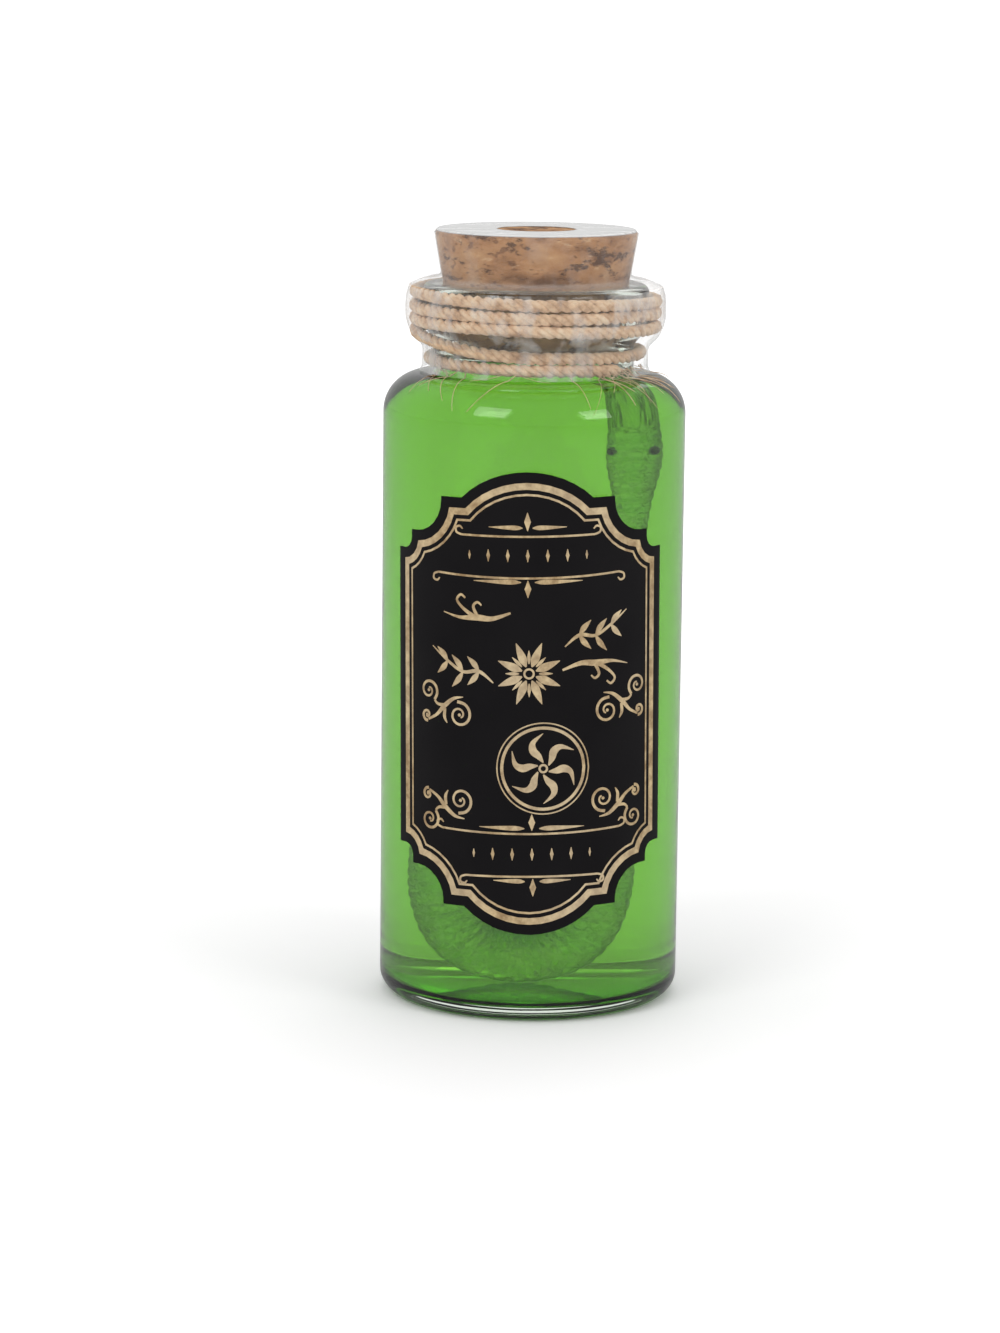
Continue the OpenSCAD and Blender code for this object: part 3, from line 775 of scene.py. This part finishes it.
def spray(x, y, way):
    # A bent stem with three pairs of leaves
    stem = moved([(5.8, 0.2), (8.2, 2.0), (11.0, 1.8), (13.8, 3.4), (16.8, 5.6)], x, y, way)
    stroke(stem, [0.2, 0.6, 0.5, 0.45, 0.15])
    for (stemX, stemY), leaf in zip(stem[1:], (2.6, 2.9, 2.4)):
        for lean in (-1, 1):
            stroke(moved([(0, 0), (0.8, 0.45 * leaf), (2.0, 0.9 * leaf)], stemX, stemY, way, lean),
                   [0.2, 0.95, 0.1])


def petals(x, y, count, turn, places, widths):
    # Straight petals that point away from (x, y), each with its widths at the given places
    for k in range(count):
        a = np.radians(360 / count * k + turn)
        stroke([(x + q * np.cos(a), y + q * np.sin(a)) for q in places], widths)


# From the top down: upper panel, flourishes, scrolls at the sides, lower panel
diamond(0.1, 29.9, 1.1, 1.5)
wings(0.1, 28.9, 0.8, 6.3, 0.75)
rule(0.1, 27.6, 11.0, -0.1, 1)
rule(0.1, 21.2, 15.4, -0.45, -1)
wings(0.1, 20.1, 1.1, 8.9, 0.8)
diamond(0.1, 19.0, 1.1, 1.4)
flourish(-8.3, 14.6, 1, 1)
flourish(11.2, 6.2, -1, -1)
scroll(-14.4, -0.3, 1, 1)
scroll(16.2, 0.3, -1, 1)
scroll(-14.3, -17.8, 1, -1)
scroll(15.4, -17.6, -1, -1)
diamond(0.5, -19.3, 1.1, 1.35)
wings(0.5, -20.3, 1.2, 8.6, 0.8)
rule(0.4, -20.9, 15.2, -0.3, 1)
rule(0.5, -28.4, 11.0, 0.1, -1)
wings(0.5, -29.1, 1.2, 6.3, 0.75)
diamond(0.6, -30.1, 1.1, 1.45)

# A trail of lozenges between each pair of rules, the end ones smaller
for x in np.arange(-9.6, 10, 3.2):
    wide, high = (0.62, 1.0) if abs(x) < 8 else (0.45, 0.7)
    diamond(0.1 + x, 24.4, wide, high)
    diamond(0.5 + x, -24.6, wide, high)

# A rosette with a leaf spray on each side
rosetteX, rosetteY = 0.2, 5.2
petals(rosetteX, rosetteY, 8, 22.5, (1.2, 2.4, 3.9, 5.4), [0.2, 1.3, 1.0, 0.1])
petals(rosetteX, rosetteY, 8, 0, (1.6, 2.6, 3.8), [0.15, 0.55, 0.1])
circle(rosetteX, rosetteY, 0.75, 0.34, 2)
spray(rosetteX, 3.4, -1)
spray(rosetteX, 9.3, 1)

# A wheel of six bowed petals in two rings
wheelX, wheelY = 2.4, -10.4
circle(wheelX, wheelY, 6.7, 0.5, 3)
circle(wheelX, wheelY, 7.5, 0.22, 3)
circle(wheelX, wheelY, 0.6, 0.36, 2)
for k in range(6):
    t = np.linspace(0, 1, 5)
    bowed = np.radians(60 * k + 30) + 0.5 * np.sin(np.pi * t)
    q = 1.0 + 4.8 * t
    stroke(np.stack([wheelX + q * np.cos(bowed), wheelY + q * np.sin(bowed)], 1),
           [0.2, 1.0, 1.25, 0.8, 0.1])


def onLabel(line, r):
    # Label millimetres, turned and shifted, then wrapped round the body at radius r
    across, up = line[:, 0], line[:, 1]
    tilt = np.radians(label["tilt"])
    u = across * np.cos(tilt) - up * np.sin(tilt) + label["shift"]
    v = across * np.sin(tilt) + up * np.cos(tilt)
    a = u / bodyR
    return np.stack([r * np.sin(a), -r * np.cos(a), v + label["middleZ"]], -1)


# Each stroke is a flat bar: its line moved half its width to both sides, on the paper and above it
corners, faces, count = [], [], 0
foilR = label["paperR"] + label["foil"]
for line in strokes:
    d = np.gradient(line[:, :2], axis=0)
    d /= np.maximum(np.linalg.norm(d, axis=1, keepdims=True), 1e-9)
    off = np.stack([-d[:, 1], d[:, 0]], 1) * line[:, 2:3] / 2
    a, b = line[:, :2] + off, line[:, :2] - off
    bar = np.stack([onLabel(a, foilR), onLabel(b, foilR), onLabel(b, label["paperR"]),
                    onLabel(a, label["paperR"])], 1)
    n = len(line)
    faces += (gridFaces(n, 4) + count).tolist()
    faces += [[count + k for k in (3, 2, 1, 0)], [count + 4 * n - 4 + k for k in range(4)]]
    corners.append(bar.reshape(-1, 3))
    count += 4 * n
ornament = tidyNormals(rawMesh("foilOrnament", np.vstack(corners), faces, smooth=False))
dress(ornament, goldLook, "bottle", "gold_foil")


# Floor, backdrop light and lamps

print("stage")
room = {
    "half": 40000, "world": 0.72, "glossyLess": 0.15, "aim": (0, 0, 0.06),
    "floorNear": 1.17, "floorFar": 1.6, "floorThrough": 1.08, "floorPlain": 0.8, "floorGlossy": 0.7,
    "lamps": (((-0.55, -0.75, 0.75), 2.2, 0.5), ((0.75, -0.6, 0.6), 1.5, 0.4),
              ((0.1, 0.8, 0.9), 1.6, 0.7))}  # where in metres, watts, and size in metres


def rays(look):
    # 1 for rays straight from the camera, off a glossy surface and through glass
    kinds = ("Camera", "Glossy", "Transmission")
    return [look.add("ShaderNodeLightPath", out=f"Is {kind} Ray") for kind in kinds]


def grey(level):
    return (level, level, level)


floorCorners = room["half"] * np.array([[-1, -1, 0], [1, -1, 0], [1, 1, 0], [-1, 1, 0]])
floor = rawMesh("floor", floorCorners, [[0, 1, 2, 3]], smooth=False)
pale = Look("paleFloor")
straight, glossy, through = rays(pale)
away = pale.add("ShaderNodeVectorMath", {"operation": "LENGTH"},
                {0: pale.add("ShaderNodeTexCoord", out="Object")}, out="Value")
shown = pale.mix(pale.mask(away, 0.05, 0.45), grey(room["floorNear"]), grey(room["floorFar"]))
lit = pale.mix(glossy, grey(room["floorPlain"]), grey(room["floorGlossy"]))
floorColour = pale.mix(through, pale.mix(straight, lit, shown), grey(room["floorThrough"]))
floorLook = pale.finish({"Base Color": floorColour, "Roughness": 0.9, "Specular IOR Level": 0.0})
floor.data.materials.append(floorLook)

scene.world = bpy.data.worlds.new("studio")
scene.world.use_nodes = True
sky = Look("studio", scene.world.node_tree)
straight, glossy, through = rays(sky)
seen = sky.add("ShaderNodeClamp", None, {0: straight + through})
strength = room["world"] + (1 - room["world"]) * seen - room["glossyLess"] * glossy
light = sky.add("ShaderNodeBackground", None, {"Color": (1.0, 1.0, 1.0), "Strength": strength})
sky.add("ShaderNodeOutputWorld", None, {"Surface": light})

aim = Vector(room["aim"])
for number, (spot, power, size) in enumerate(room["lamps"]):
    lamp = bpy.data.lights.new(f"softbox{number}", "AREA")
    lamp.energy, lamp.size = power, size
    lampObject = bpy.data.objects.new(lamp.name, lamp)
    lampObject.location = spot
    lampObject.rotation_euler = (aim - Vector(spot)).to_track_quat("-Z", "Y").to_euler()
    scene.collection.objects.link(lampObject)


# Camera: in metres and radians; pitch is down, yaw to the right, roll turns the picture

camera = {"at": (0, -0.69148, 0.17723), "pitch": 0.174947, "yaw": -0.007559, "roll": 0.010856,
          "lens": 113.43, "sensor": 36}
cosPitch, sinPitch = np.cos(camera["pitch"]), np.sin(camera["pitch"])
cosYaw, sinYaw = np.cos(camera["yaw"]), np.sin(camera["yaw"])
cosRoll, sinRoll = np.cos(camera["roll"]), np.sin(camera["roll"])
ahead = np.array([sinYaw * cosPitch, cosYaw * cosPitch, -sinPitch])
level = np.array([cosYaw, -sinYaw, 0.0])
upright = np.cross(level, ahead)
axes = np.stack([cosRoll * level + sinRoll * upright, cosRoll * upright - sinRoll * level, -ahead], 1)
lens = bpy.data.cameras.new("camera")
lens.lens, lens.sensor_width = camera["lens"], camera["sensor"]
lensObject = bpy.data.objects.new("camera", lens)
lensObject.matrix_world = Matrix.Translation(camera["at"]) @ Matrix(axes.tolist()).to_4x4()
scene.collection.objects.link(lensObject)
scene.camera = lensObject

print("done")
